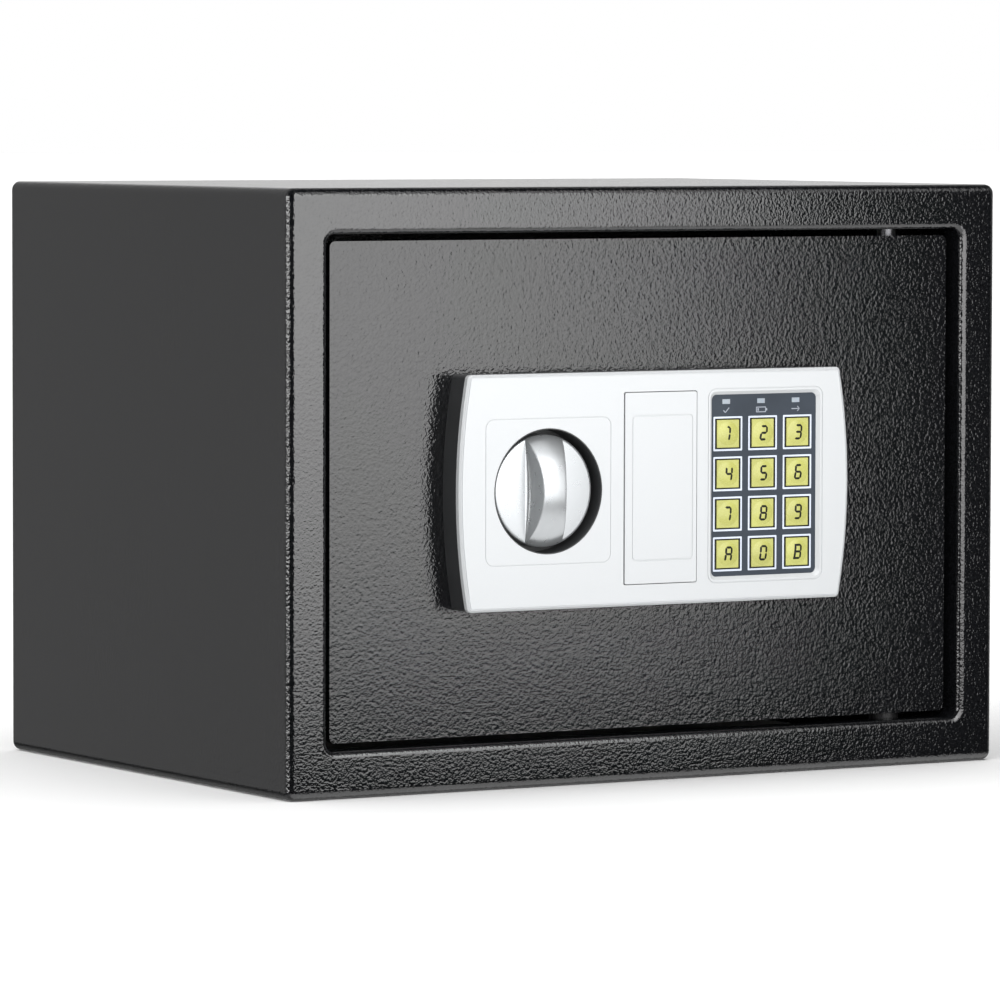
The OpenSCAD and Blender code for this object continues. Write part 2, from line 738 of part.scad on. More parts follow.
module guide_clips() color("#7d8084") for (s = STUDS) difference() {
    bar_y(s.x, s.y, s.z + 2.4, carriage_back + slide_gap, carriage_back + slide_gap + 1);
    bar_y(s.x, s.y, s.z, carriage_back, carriage_back + 2);
}

// ---- Emergency lock ----

module lock_barrel() color("#b9a46a") difference() {
    union() {
        bar_y(lock_x, spindle_z, barrel_r, lock_front, barrel_back);
        bar_y(lock_x, spindle_z, 11.5, door_front - 2, door_front);
    }
    bar_y(lock_x, spindle_z, plug_r + 0.06, lock_front - past, barrel_back + past);
}

module lock_nut() color("#9da0a4") difference() {
    slab(door_back, door_back + 5) translate([lock_x, spindle_z]) circle(14, $fn = 6);
    bar_y(lock_x, spindle_z, barrel_r, door_back - past, door_back + 6);
}

module lock_plug() color("#c8b46e") difference() {
    union() {
        bar_y(lock_x, spindle_z, plug_r, lock_front - 0.4, barrel_back + 0.1);
        bar_y(lock_x, spindle_z, 4, barrel_back, cam_back);
    }
    block([lock_x - 1.1, lock_front - past, spindle_z - 4], [lock_x + 1.1, lock_front + 20, spindle_z + 4]);
    bar_y(lock_x, spindle_z, 1.5, cam_back - 6, cam_back + past);
}

// The cam points left at rest, and lifts the plunger as the key turns it upright.
module lock_cam() color("#9da0a4") slab(cam_back - cam_t, cam_back) translate([lock_x, spindle_z]) difference() {
    union() {
        circle(7.5);
        slot(3 - cam_reach, 0, 0, 3);
    }
    circle(4);
}

module cam_screw() color("#b9bcc0") {
    bar_y(lock_x, spindle_z, 1.5, cam_back - 5, cam_back + 0.5);
    bar_y(lock_x, spindle_z, 5, cam_back, cam_back + 1.9);
}

// ---- Solenoid ----

module solenoid_frame() color("#b9bcc0") difference() {
    union() {
        block([lock_x - 12.5, door_back, coil_z0], [lock_x + 12.5, door_back + sheet, coil_z1]);
        for (z = [coil_z0, coil_z1 - sheet])
            block([lock_x - 12.5, door_back, z], [lock_x + 12.5, plunger_y + 10, z + sheet]);
    }
    bar_z(lock_x, plunger_y, plunger_r + 0.25, coil_z0 - past, coil_z0 + sheet + past);
}

module solenoid_coil() color("#8a4b22") difference() {
    union() {
        bar_z(lock_x, plunger_y, coil_r, coil_z0 + sheet, coil_z1 - sheet);
        for (z = [coil_z0 + sheet, coil_z1 - sheet - 1]) bar_z(lock_x, plunger_y, coil_r + 1, z, z + 1);
    }
    bar_z(lock_x, plunger_y, plunger_r + 0.25, coil_z0, coil_z1 - sheet - 3);
}

module plunger() color("#d5d8dc") {
    bar_z(lock_x, plunger_y, plunger_r, plunger_z, coil_z1 - sheet - 7);
    bar_z(lock_x, plunger_y, plunger_r + 2, collar_z, collar_z + collar_t);
}

// Open coil between the plunger's collar and the frame.
module plunger_spring() color("#9da0a4") {
    wire_r = 0.35;
    coil = 4.6;
    turns = 3;
    low = collar_z + collar_t + wire_r + 0.05;
    high = coil_z0 - wire_r - 0.05;
    steps = 16 * turns;
    tube([for (k = [0:steps]) [lock_x + coil * cos(360 * turns * k / steps),
        plunger_y + coil * sin(360 * turns * k / steps), low + (high - low) * k / steps]], wire_r);
}

// ---- Every node ----

cabinet_shell();
back_panel();
hinge_brackets();
hinge_pin_upper();
hinge_pin_lower();
hinge_washer();
floor_mat();
door_plate();
door_pan();
hinge_lugs();
back_cover();
cover_screws();
battery_box();
battery_contacts();
batteries();
battery_lid();
reset_switch();
reset_button();
panel_base();
panel_screws();
face_plate();
key_cover();
keypad_overlay();
led_windows();
keypad_board();
buzzer();
lead_grommet();
keypad_lead();
solenoid_lead();
knob();
spindle();
spindle_bush();
crank();
crank_screw();
carriage_plate();
bolts();
guide_studs();
guide_clips();
lock_barrel();
lock_nut();
lock_plug();
lock_cam();
cam_screw();
solenoid_frame();
solenoid_coil();
plunger();
plunger_spring();
for (i = [0:11]) key(i);
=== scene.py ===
"""Home safe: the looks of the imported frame.

Sizes are in millimetres along the frame's own axes, and MM turns them into metres.
"""
import json
from math import cos, hypot, pi, radians, sin, sqrt

import bmesh
import bpy
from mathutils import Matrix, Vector


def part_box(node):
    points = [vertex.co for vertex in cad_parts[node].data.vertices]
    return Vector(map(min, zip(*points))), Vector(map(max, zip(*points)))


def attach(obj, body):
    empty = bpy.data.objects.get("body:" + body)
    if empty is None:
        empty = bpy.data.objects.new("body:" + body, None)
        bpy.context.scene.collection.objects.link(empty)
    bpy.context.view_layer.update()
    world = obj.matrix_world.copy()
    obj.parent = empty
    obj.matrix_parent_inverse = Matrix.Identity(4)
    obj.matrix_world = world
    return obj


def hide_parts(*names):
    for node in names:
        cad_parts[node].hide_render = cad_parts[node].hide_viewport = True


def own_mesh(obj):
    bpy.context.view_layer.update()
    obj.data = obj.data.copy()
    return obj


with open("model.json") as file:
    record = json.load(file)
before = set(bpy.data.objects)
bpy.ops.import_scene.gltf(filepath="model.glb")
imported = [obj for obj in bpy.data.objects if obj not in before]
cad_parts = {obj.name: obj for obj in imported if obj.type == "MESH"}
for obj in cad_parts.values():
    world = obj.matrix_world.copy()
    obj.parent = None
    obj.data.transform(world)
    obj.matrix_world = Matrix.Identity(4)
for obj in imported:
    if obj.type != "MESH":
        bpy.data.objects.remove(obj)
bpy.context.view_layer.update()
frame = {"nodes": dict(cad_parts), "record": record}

MM = 0.001
NODES = frame["nodes"]


def node_box(name):
    """Lowest and highest corner of a CAD node, in millimetres."""
    low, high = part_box(name)
    return low / MM, high / MM


# ---- Materials ----


class Shader:
    """A material with a Principled shader, and short calls for the nodes that feed it."""

    def __init__(self, name, **inputs):
        self.material = bpy.data.materials.new(name)
        self.material.use_nodes = True
        self.tree = self.material.node_tree
        self.surface = self.tree.nodes["Principled BSDF"]
        for socket, value in inputs.items():
            self.surface.inputs[socket.replace("_", " ")].default_value = value
        self.place = self.tree.nodes.new("ShaderNodeTexCoord").outputs["Object"]

    def link(self, source, target):
        self.tree.links.new(source, target)

    def noise(self, scale, detail=2.0, roughness=0.5, distortion=0.0, stretch=None):
        node = self.tree.nodes.new("ShaderNodeTexNoise")
        node.inputs["Scale"].default_value = scale
        node.inputs["Detail"].default_value = detail
        node.inputs["Roughness"].default_value = roughness
        node.inputs["Distortion"].default_value = distortion
        place = self.place
        if stretch:
            mapping = self.tree.nodes.new("ShaderNodeMapping")
            mapping.inputs["Scale"].default_value = stretch
            self.link(self.place, mapping.inputs["Vector"])
            place = mapping.outputs["Vector"]
        self.link(place, node.inputs["Vector"])
        return node.outputs["Fac"]

    def ramp(self, source, stops):
        """Colours or greys at places from 0 to 1 along the source."""
        node = self.tree.nodes.new("ShaderNodeValToRGB")
        while len(node.color_ramp.elements) < len(stops):
            node.color_ramp.elements.new(0.5)
        for element, (place, colour) in zip(node.color_ramp.elements, stops):
            element.position = place
            element.color = (*colour, 1) if isinstance(colour, tuple) else (colour, colour, colour, 1)
        self.link(source, node.inputs["Fac"])
        return node.outputs["Color"]

    def colour(self, source):
        self.link(source, self.surface.inputs["Base Color"])

    def roughness(self, source):
        self.link(source, self.surface.inputs["Roughness"])

    def bump(self, source, depth):
        """Relief of the given depth in millimetres. A second call adds to the first."""
        node = self.tree.nodes.new("ShaderNodeBump")
        node.inputs["Strength"].default_value = 1.0
        node.inputs["Distance"].default_value = depth * MM
        self.link(source, node.inputs["Height"])
        normal = self.surface.inputs["Normal"]
        if normal.is_linked:
            self.link(normal.links[0].from_socket, node.inputs["Normal"])
        self.link(node.outputs["Normal"], normal)


def shade(colour, factor):
    """A lighter or darker version of a colour."""
    return tuple(min(1.0, c * factor) for c in colour)


def textured_paint(name, gloss):
    """Black powder coat with a glossy, pebbled skin."""
    black = (0.0042, 0.0044, 0.0050)
    shader = Shader(name, Specular_IOR_Level=gloss)
    pebbles = shader.noise(720, detail=1.0, roughness=0.5)
    pits = shader.noise(1700, detail=0.0)
    shader.colour(shader.ramp(pebbles, [(0.3, shade(black, 0.75)), (0.7, shade(black, 1.3))]))
    shader.roughness(shader.ramp(shader.noise(90, detail=3.0), [(0.3, 0.06), (0.7, 0.09)]))
    shader.bump(pebbles, 0.175)
    shader.bump(pits, 0.06)
    return shader.material


def moulded(name, colour, roughness, grain_scale=2600, grain_depth=0.006, **inputs):
    """Moulded plastic or rubber with a fine grain and a slight drift in colour."""
    shader = Shader(name, **inputs)
    drift = shader.noise(60, detail=3.0)
    shader.colour(shader.ramp(drift, [(0.3, shade(colour, 0.9)), (0.7, shade(colour, 1.1))]))
    grain = shader.noise(grain_scale, detail=2.0, roughness=0.6)
    shader.roughness(shader.ramp(grain, [(0.3, roughness - 0.04), (0.7, roughness + 0.05)]))
    shader.bump(grain, grain_depth)
    return shader.material


def metal(name, colour, roughness, stretch=(1, 1, 1), scale=900, depth=0.002):
    """Metal with fine drawn or tumbled marks. stretch is large across the marks and small along them."""
    shader = Shader(name, Metallic=1.0)
    marks = shader.noise(scale, detail=4.0, roughness=0.65, stretch=stretch)
    shader.colour(shader.ramp(marks, [(0.25, shade(colour, 0.88)), (0.75, shade(colour, 1.08))]))
    shader.roughness(shader.ramp(marks, [(0.3, roughness - 0.05), (0.7, roughness + 0.07)]))
    shader.bump(marks, depth)
    return shader.material


def zinc():
    """Zinc-plated steel, with the soft patches of the plating."""
    shader = Shader("zinc_steel", Metallic=1.0)
    patches = shader.noise(160, detail=4.0, roughness=0.6)
    shader.colour(shader.ramp(patches, [(0.3, (0.46, 0.47, 0.49)), (0.7, (0.62, 0.63, 0.64))]))
    shader.roughness(shader.ramp(patches, [(0.3, 0.26), (0.7, 0.40)]))
    shader.bump(shader.noise(2400, detail=3.0, stretch=(1, 1, 0.15)), 0.003)
    return shader.material


def silver_lacquer():
    """Silver lacquer on moulded plastic, with flakes too fine to tell apart."""
    shader = Shader("silver_plastic", Metallic=0.2)
    flakes = shader.noise(5200, detail=1.0, roughness=0.4)
    shader.colour(shader.ramp(flakes, [(0.3, (0.485, 0.498, 0.508)), (0.7, (0.500, 0.513, 0.523))]))
    shader.roughness(shader.ramp(flakes, [(0.3, 0.42), (0.7, 0.46)]))
    shader.bump(shader.noise(1100, detail=1.0), 0.0015)
    return shader.material


def satin_chrome():
    """Satin-plated die casting with a faint cloud in the finish."""
    shader = Shader("silver_metal", Metallic=0.75)
    cloud = shader.noise(260, detail=2.0, roughness=0.5)
    shader.colour(shader.ramp(cloud, [(0.3, (0.470, 0.486, 0.498)), (0.7, (0.490, 0.506, 0.518))]))
    shader.roughness(shader.ramp(cloud, [(0.3, 0.27), (0.7, 0.30)]))
    shader.bump(shader.noise(90, detail=1.0), 0.006)
    return shader.material


def felt():
    """Needled felt: short fibres that lie every way."""
    shader = Shader("felt", Roughness=0.95, Sheen_Weight=0.4, Sheen_Roughness=0.5)
    fibres = shader.noise(1500, detail=6.0, roughness=0.75, distortion=1.2)
    shader.colour(shader.ramp(fibres, [(0.3, (0.010, 0.011, 0.013)), (0.7, (0.032, 0.034, 0.040))]))
    shader.bump(fibres, 0.25)
    return shader.material


def winding():
    """Enamelled wire wound side by side round an upright axis, with painted shade where the turns meet."""
    shader = Shader("copper_winding", Metallic=0.7, Coat_Weight=0.6)
    wave = shader.tree.nodes.new("ShaderNodeTexWave")
    wave.bands_direction = "Z"
    wave.inputs["Scale"].default_value = 700
    shader.link(shader.place, wave.inputs["Vector"])
    turns = wave.outputs["Fac"]
    # The colour darkens towards the low part of each wave: painted shade in the creases between turns.
    shader.colour(shader.ramp(turns, [(0.1, (0.20, 0.06, 0.02)), (0.6, (0.62, 0.26, 0.11))]))
    shader.roughness(shader.ramp(turns, [(0.0, 0.5), (1.0, 0.28)]))
    shader.bump(turns, 0.15)
    return shader.material


def cell_sleeve():
    """Printed sleeve of a cell: a dark body and a copper-coloured band round one end."""
    dark, copper = (0.02, 0.02, 0.025), (0.55, 0.36, 0.12)
    band_z, blend = 0.138, 0.0005  # where the band starts and how fast the colour turns, in metres
    shader = Shader("battery_wrap", Coat_Weight=0.5)
    parts = shader.tree.nodes.new("ShaderNodeSeparateXYZ")
    shader.link(shader.place, parts.inputs["Vector"])
    shader.colour(shader.ramp(parts.outputs["Z"], [(band_z - blend, dark), (band_z, copper)]))
    shader.roughness(shader.ramp(shader.noise(800, detail=3.0), [(0.3, 0.22), (0.7, 0.34)]))
    shader.bump(shader.noise(1200, detail=2.0), 0.004)
    return shader.material


MATERIALS = {
    "paint_black": textured_paint("paint_black", 1.0),
    "door_paint": textured_paint("door_paint", 0.82),
    "steel": metal("steel", (0.58, 0.59, 0.61), 0.30, stretch=(1, 0.2, 1)),
    # A darker, rougher copy of steel for the hinge pins: painted shade that dims the pins' glint where they
    # show in the gap between door and frame.
    "pin_steel_shaded": metal("pin_steel_shaded", (0.22, 0.22, 0.23), 0.38, stretch=(1, 1, 0.2)),
    "zinc_steel": zinc(),
    "chrome": metal("chrome", (0.66, 0.67, 0.69), 0.12, stretch=(0.3, 4, 4), scale=500, depth=0.001),
    "nylon": moulded("nylon", (0.02, 0.02, 0.021), 0.42),
    "felt": felt(),
    "black_plastic": moulded("black_plastic", (0.026, 0.0268, 0.0282), 0.38),
    "red_plastic": moulded("red_plastic", (0.50, 0.025, 0.02), 0.28, Coat_Weight=0.3),
    "silver_plastic": silver_lacquer(),
    "silver_metal": satin_chrome(),
    "overlay_film": moulded("overlay_film", (0.030, 0.038, 0.050), 0.5, grain_scale=3800, grain_depth=0.002,
                            Specular_IOR_Level=0.25),
    "led_lens": moulded("led_lens", (0.30, 0.31, 0.34), 0.30, grain_depth=0.002, Subsurface_Weight=0.2),
    "circuit_board": moulded("circuit_board", (0.02, 0.13, 0.06), 0.35, grain_scale=500, grain_depth=0.02),
    "battery_wrap": cell_sleeve(),
    "rubber": moulded("rubber", (0.013, 0.013, 0.013), 0.7, grain_depth=0.01),
    "lead_sleeve": moulded("lead_sleeve", (0.45, 0.05, 0.04), 0.45),
    "brass": metal("brass", (0.76, 0.60, 0.30), 0.24, stretch=(4, 0.3, 4)),
    "copper_winding": winding(),
    "key_yellow": moulded("key_yellow", (0.37, 0.37, 0.105), 0.26, grain_depth=0.0015),
    "legend_black": moulded("legend_black", (0.006, 0.0065, 0.005), 0.45, grain_depth=0.001,
                            Specular_IOR_Level=0.2),
    "legend_white": moulded("legend_white", (0.50, 0.54, 0.62), 0.50, grain_depth=0.001,
                            Specular_IOR_Level=0.25),
    "legend_grey": moulded("legend_grey", (0.26, 0.28, 0.32), 0.50, grain_depth=0.001,
                           Specular_IOR_Level=0.25),
}


# ---- Meshes ----


def finish_piece(name, mesh, body, slot, material=None, smooth_angle=32):
    """Makes the object of a mesh that is already in metres, dresses it and puts it on its body."""
    mesh.name = name
    piece = bpy.data.objects.new(name, mesh)
    bpy.context.scene.collection.objects.link(piece)
    mesh.materials.clear()
    mesh.materials.append(MATERIALS[material or slot])
    mesh.shade_smooth()
    mesh.set_sharp_from_angle(angle=radians(smooth_angle))
    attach(piece, body)
    return piece


def build(name, points, faces, body, slot, material=None, smooth_angle=32):
    """A piece from points in millimetres and faces, with every face turned outwards."""
    mesh = bpy.data.meshes.new(name)
    mesh.from_pydata([Vector(p) * MM for p in points], [], faces)
    work = bmesh.new()
    work.from_mesh(mesh)
    bmesh.ops.remove_doubles(work, verts=work.verts, dist=1e-7)
    bmesh.ops.dissolve_degenerate(work, edges=work.edges, dist=1e-8)
    bmesh.ops.recalc_face_normals(work, faces=work.faces)
    work.to_mesh(mesh)
    work.free()
    return finish_piece(name, mesh, body, slot, material, smooth_angle)


def weighted_normals(piece):
    """Keeps large flat faces flat beside small rounds."""
    modifier = piece.modifiers.new("normals", "WEIGHTED_NORMAL")
    modifier.keep_sharp = True


def loft(rings, closed=False):
    """Points and faces that join rings of equal length.

    A closed loft joins the last ring to the first; an open one has a flat face on each end.
    """
    size = len(rings[0])
    points = [p for ring in rings for p in ring]
    faces = []
    for i in range(len(rings) if closed else len(rings) - 1):
        low, high = i * size, (i + 1) % len(rings) * size
        faces += [(low + k, low + (k + 1) % size, high + (k + 1) % size, high + k) for k in range(size)]
    if not closed:
        faces.append(tuple(range(size)))
        faces.append(tuple(range(len(points) - size, len(points))))
    return points, faces


def rectangle_ring(width, height, radius, x, y, z, steps=8):
    """A rounded rectangle round (x, z) in the plane of one y."""
    ring = []
    for corner, (side, end) in enumerate(((1, 1), (-1, 1), (-1, -1), (1, -1))):
        for k in range(steps + 1):
            turn = pi / 2 * (corner + k / steps)
            ring.append((x + side * (width / 2 - radius) + radius * cos(turn), y,
                         z + end * (height / 2 - radius) + radius * sin(turn)))
    return ring


def lathe(profile, x, z, steps=96):
    """Points and faces of a shape turned about an axis along Y.

    profile is (radius, y) pairs that start and end on the axis.
    """
    points = [(x, profile[0][1], z)]
    faces = []
    for radius, y in profile[1:-1]:
        points += [(x + radius * cos(2 * pi * k / steps), y, z + radius * sin(2 * pi * k / steps))
                   for k in range(steps)]
    points.append((x, profile[-1][1], z))
    rings = len(profile) - 2
    for k in range(steps):
        after = (k + 1) % steps
        faces.append((0, 1 + after, 1 + k))
        for i in range(rings - 1):
            low, high = 1 + i * steps, 1 + (i + 1) * steps
            faces.append((low + k, low + after, high + after, high + k))
        last = 1 + (rings - 1) * steps
        faces.append((last + k, last + after, len(points) - 1))
    return points, faces


def join(*parts):
    """One set of points and faces from several."""
    points, faces = [], []
    for more_points, more_faces in parts:
        start = len(points)
        points += more_points
        faces += [tuple(start + i for i in face) for face in more_faces]
    return points, faces


def ribbon(path, surface, rise=0.03, sink=0.08):
    """A thin bar that lies on a surface.

    path is (x, z, sideways x, sideways z) for each station, where the last two reach from the middle to one
    edge. surface(x, z) gives the surface's y.
    """
    rings = []
    for x, z, dx, dz in path:
        left_x, left_z, right_x, right_z = x - dx, z - dz, x + dx, z + dz
        left_y, right_y = surface(left_x, left_z), surface(right_x, right_z)
        rings.append([(left_x, left_y - rise, left_z), (right_x, right_y - rise, right_z),
                      (right_x, right_y + sink, right_z), (left_x, left_y + sink, left_z)])
    return loft(rings)


def flat(y):
    """A surface for ribbon that has the same y everywhere."""
    return lambda x, z: y


def outline_piece(name, splines, thickness, place, body, slot, edge=0.0):
    """A flat piece cut from closed outlines in X and Y, with holes where outlines lie inside others."""
    curve = bpy.data.curves.new(name, "CURVE")
    curve.dimensions = "2D"
    curve.fill_mode = "BOTH"
    curve.extrude = (thickness / 2 - edge) * MM
    curve.bevel_depth = edge * MM
    curve.offset = -edge * MM
    for outline in splines:
        spline = curve.splines.new("POLY")
        spline.points.add(len(outline) - 1)
        for point, (x, y) in zip(spline.points, outline):
            point.co = (x * MM, y * MM, 0, 1)
        spline.use_cyclic_u = True
    temporary = bpy.data.objects.new(name + "_outline", curve)
    bpy.context.scene.collection.objects.link(temporary)
    mesh = bpy.data.meshes.new_from_object(temporary.evaluated_get(bpy.context.evaluated_depsgraph_get()))
    bpy.data.objects.remove(temporary)
    for vertex in mesh.vertices:
        vertex.co += Vector(place) * MM
    work = bmesh.new()
    work.from_mesh(mesh)
    bmesh.ops.remove_doubles(work, verts=work.verts, dist=1e-6)
    work.to_mesh(mesh)
    work.free()
    return finish_piece(name, mesh, body, slot)


def drilled(piece, holes):
    """Cuts round upright holes, each (x, y, radius, z0, z1), and keeps the result as the mesh."""
    for x, y, radius, z0, z1 in holes:
        bpy.ops.mesh.primitive_cylinder_add(vertices=48, radius=radius * MM, depth=(z1 - z0) * MM,
                                            location=(x * MM, y * MM, (z0 + z1) / 2 * MM))
        cutter = bpy.context.object
        cut = piece.modifiers.new("hole", "BOOLEAN")
        cut.object = cutter
        cut.solver = "EXACT"
        mesh = bpy.data.meshes.new_from_object(piece.evaluated_get(bpy.context.evaluated_depsgraph_get()))
        piece.modifiers.remove(cut)
        piece.data = mesh
        bpy.data.objects.remove(cutter)


# ---- Cabinet ----

ARC_STEPS = 10
ANCHOR_PITCH = 200


def cabinet():
    """The folded wrap, its face frame and the jamb, as one closed sheet with rounded bends."""
    low, high = node_box("cabinet_shell")
    door_low, door_high = node_box("door_plate")
    width, height = high.x - low.x, high.z - low.z
    sheet, edge = 1.5, 0.25
    side_gap, end_gap = 4.0, 2.85
    mouth_w = door_high.x - door_low.x + 2 * side_gap
    mouth_h = door_high.z - door_low.z + 2 * end_gap
    mouth_z = (door_low.z + door_high.z) / 2
    long_fold, front_fold, mouth_fold, mouth_r, jamb = 4.0, 4.0, 2.8, 4.0, 12.0
    least_r, anchor_r = 0.3, 5

    def wrap(inset, y):
        radius = max(long_fold - inset, least_r)
        return rectangle_ring(width - 2 * inset, height - 2 * inset, radius, 0, y, height / 2)

    def mouth(grow, y):
        return rectangle_ring(mouth_w + 2 * grow, mouth_h + 2 * grow, mouth_r + grow, 0, y, mouth_z)

    bend = [pi / 2 * k / ARC_STEPS for k in range(ARC_STEPS + 1)]
    rings = [wrap(sheet, high.y - edge), wrap(sheet - edge, high.y)]
    rings += [wrap(edge, high.y), wrap(0, high.y - edge)]
    rings += [wrap(front_fold * (1 - cos(a)), low.y + front_fold * (1 - sin(a))) for a in bend]
    rings += [mouth(mouth_fold * (1 - sin(a)), low.y + mouth_fold * (1 - cos(a))) for a in bend]
    rings += [mouth(0, low.y + jamb - edge), mouth(edge, low.y + jamb)]
    rings += [mouth(sheet - edge, low.y + jamb), mouth(sheet, low.y + jamb - edge)]
    rings += [mouth(sheet, low.y + mouth_fold), wrap(sheet, low.y + front_fold)]
    points, faces = loft(rings, closed=True)
    shell = build("cabinet_folded", points, faces, "cabinet", "paint_black")
    drilled(shell, [(side * ANCHOR_PITCH / 2, 0, anchor_r, -1, sheet + 1) for side in (-1, 1)])
    weighted_normals(shell)
    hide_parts("cabinet_shell")


def mat():
    """Felt mat on the floor of the cabinet, with a hole round each anchor."""
    low, high = node_box("floor_mat")
    size, middle = high - low, (low + high) / 2
    corner_r, hole_r, hole_steps, worn_edge = 6, 8, 36, 0.4
    outer = [(x, z) for x, _, z in rectangle_ring(size.x, size.y, corner_r, 0, 0, middle.y)]
    turns = [2 * pi * k / hole_steps for k in range(hole_steps)]
    holes = [[(middle_x + hole_r * cos(a), hole_r * sin(a)) for a in turns]
             for middle_x in (-ANCHOR_PITCH / 2, ANCHOR_PITCH / 2)]
    piece = outline_piece("felt_mat", [outer, *holes], size.z, (0, 0, middle.z), "cabinet", "felt", worn_edge)
    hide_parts("floor_mat")


# ---- Knob ----


def knob():
    """A turned disc with a grip across it: an arched, waisted bar whose flanks scoop down into the disc."""
    low, high = node_box("knob")
    x, z = (low.x + high.x) / 2, (low.z + high.z) / 2
    half = (high.x - low.x) / 2
    rise, crown = 9.75, 0.25
    face = low.y + rise + crown
    crest_r = (half * half + rise * rise) / (2 * rise)
    end_half, waist_half = 9.1, 5.5
    foot = end_half + 0.15
    scoop = end_half - waist_half
    scoop_r = (half * half + scoop * scoop) / (2 * scoop)
    rim = half - 0.45
    rim_r, chamfer = 0.9, 0.4
    buried = 0.04  # how far the grip's feet lie under the disc
    foot_pull, edge_pull, edge_lift = 0.62, 0.10, 0.30  # shares of the scoop's width and height
    flank_steps, round_steps, rows = 10, 5, 48

    def cross_section(along):
        """(across, height) from the left foot over the crest to the right foot, for along from -1 to 1."""
        there = along * rim
        top = sqrt(crest_r ** 2 - there ** 2) - (crest_r - rise)
        edge = waist_half + scoop_r - sqrt(scoop_r ** 2 - there ** 2)
        r = min(0.55, top / 2)
        low_handle, high_handle = foot - foot_pull * (foot - edge), edge + edge_pull * (foot - edge)
        side = []
        for k in range(flank_steps + 1):  # the scooped flank, as a Bezier curve
            t = k / flank_steps
            a, b, c, d = (1 - t) ** 3, 3 * t * (1 - t) ** 2, 3 * t * t * (1 - t), t ** 3
            across = a * foot + b * low_handle + c * high_handle + d * edge
            side.append((across, -buried * (1 - t) + (c * edge_lift + d) * (top - r)))
        for k in range(1, round_steps + 1):  # the rounded edge of the crest
            a = pi / 2 * k / round_steps
            side.append((edge - r * (1 - cos(a)), top - r * (1 - sin(a))))
        for k in range(1, round_steps + 1):  # the crest, slightly crowned
            t = k / round_steps
            side.append(((edge - r) * (1 - t), top + crown * sin(pi / 2 * t) * min(1, top / rise)))
        return [(-a, h) for a, h in side] + [(a, h) for a, h in reversed(side[:-1])]

    def ring(along):
        upper = []
        for across, height in cross_section(along):
            reach = sqrt(rim ** 2 - across ** 2) * along
            upper.append((x + across, face - height, z + reach))
        lower = [(px, face + rim_r, pz) for px, _, pz in reversed(upper)]
        return upper + lower

    rings = [ring(sin(pi / 2 * (2 * k / rows - 1))) for k in range(rows + 1)]
    points, faces = loft(rings)
    faces = faces[:-2]
    count = len(rings[0])
    for start in (0, len(points) - count):  # end walls, as a strip between the upper and lower edges
        faces += [(start + k, start + k + 1, start + count - 2 - k, start + count - 1 - k)
                  for k in range(count // 2 - 1)]
    disc = [(0, face), (half - 1.2, face)]
    disc += [(half - rim_r * (1 - sin(a)), face + rim_r * (1 - cos(a)))
             for a in (pi / 8, pi / 4, 3 * pi / 8, pi / 2)]
    disc += [(half, high.y - chamfer), (half - chamfer, high.y), (0, high.y)]
    points, faces = join((points, faces), lathe(disc, x, z))
    piece = build("knob_turned", points, faces, "knob", "silver_metal", smooth_angle=40)
    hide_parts("knob")


# ---- Face plate ----


def plate():
    """The face plate, with a round along its outline and openings and a fine one along the engraving."""
    node = NODES["face_plate"]
    front = node_box("face_plate")[0].y
    deep_wall, round_r = 1.0, 0.35  # full round: the outline, and openings with walls deeper than this
    shallow, fine_r = 0.6, 0.08  # fine round: the other sharp edges no further back than this
    near = 0.02
    mesh = node.data.copy()
    mesh.transform(node.matrix_world)
    work = bmesh.new()
    work.from_mesh(mesh)
    bmesh.ops.remove_doubles(work, verts=work.verts, dist=1e-6)
    bmesh.ops.dissolve_limit(work, angle_limit=radians(0.4), verts=work.verts, edges=work.edges)

    def is_front(edge):
        return all(abs(v.co.y / MM - front) < near for v in edge.verts)

    def wall_depth(edge):
        """How far behind the front the wall under a front edge reaches; 0 where there is none."""
        return max((max(v.co.y for v in face.verts) / MM - front for face in edge.link_faces
                    if abs(face.normal.y) < 0.3), default=0)

    def is_chamfer(edge):
        """An edge of the slope round the outline."""
        return len(edge.link_faces) == 2 and radians(30) < edge.calc_face_angle() < radians(55)

    edges = [e for e in work.edges if is_chamfer(e) or is_front(e) and wall_depth(e) > deep_wall]
    bmesh.ops.bevel(work, geom=edges, offset=round_r * MM, segments=4, profile=0.5, affect="EDGES",
                    clamp_overlap=True)
    sharp = [e for e in work.edges if len(e.link_faces) == 2 and e.calc_face_angle() > radians(50)
             and min(v.co.y for v in e.verts) / MM < front + shallow]
    bmesh.ops.bevel(work, geom=sharp, offset=fine_r * MM, segments=2, profile=0.5, affect="EDGES",
                    clamp_overlap=True)
    work.to_mesh(mesh)
    work.free()
    piece = finish_piece("front_plate", mesh, "door", "silver_plastic")
    weighted_normals(piece)
    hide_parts("face_plate")


# ---- Plunger's spring ----


def spring():
    """The plunger's spring, as a copy of its CAD node with a mesh of its own, rides on the door."""
    node = NODES["plunger_spring"]
    mesh = node.data.copy()
    mesh.transform(node.matrix_world)
    piece = finish_piece("plunger_coil_spring", mesh, "door", "steel")
    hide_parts("plunger_spring")
    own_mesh(piece)


# ---- Keypad legends ----

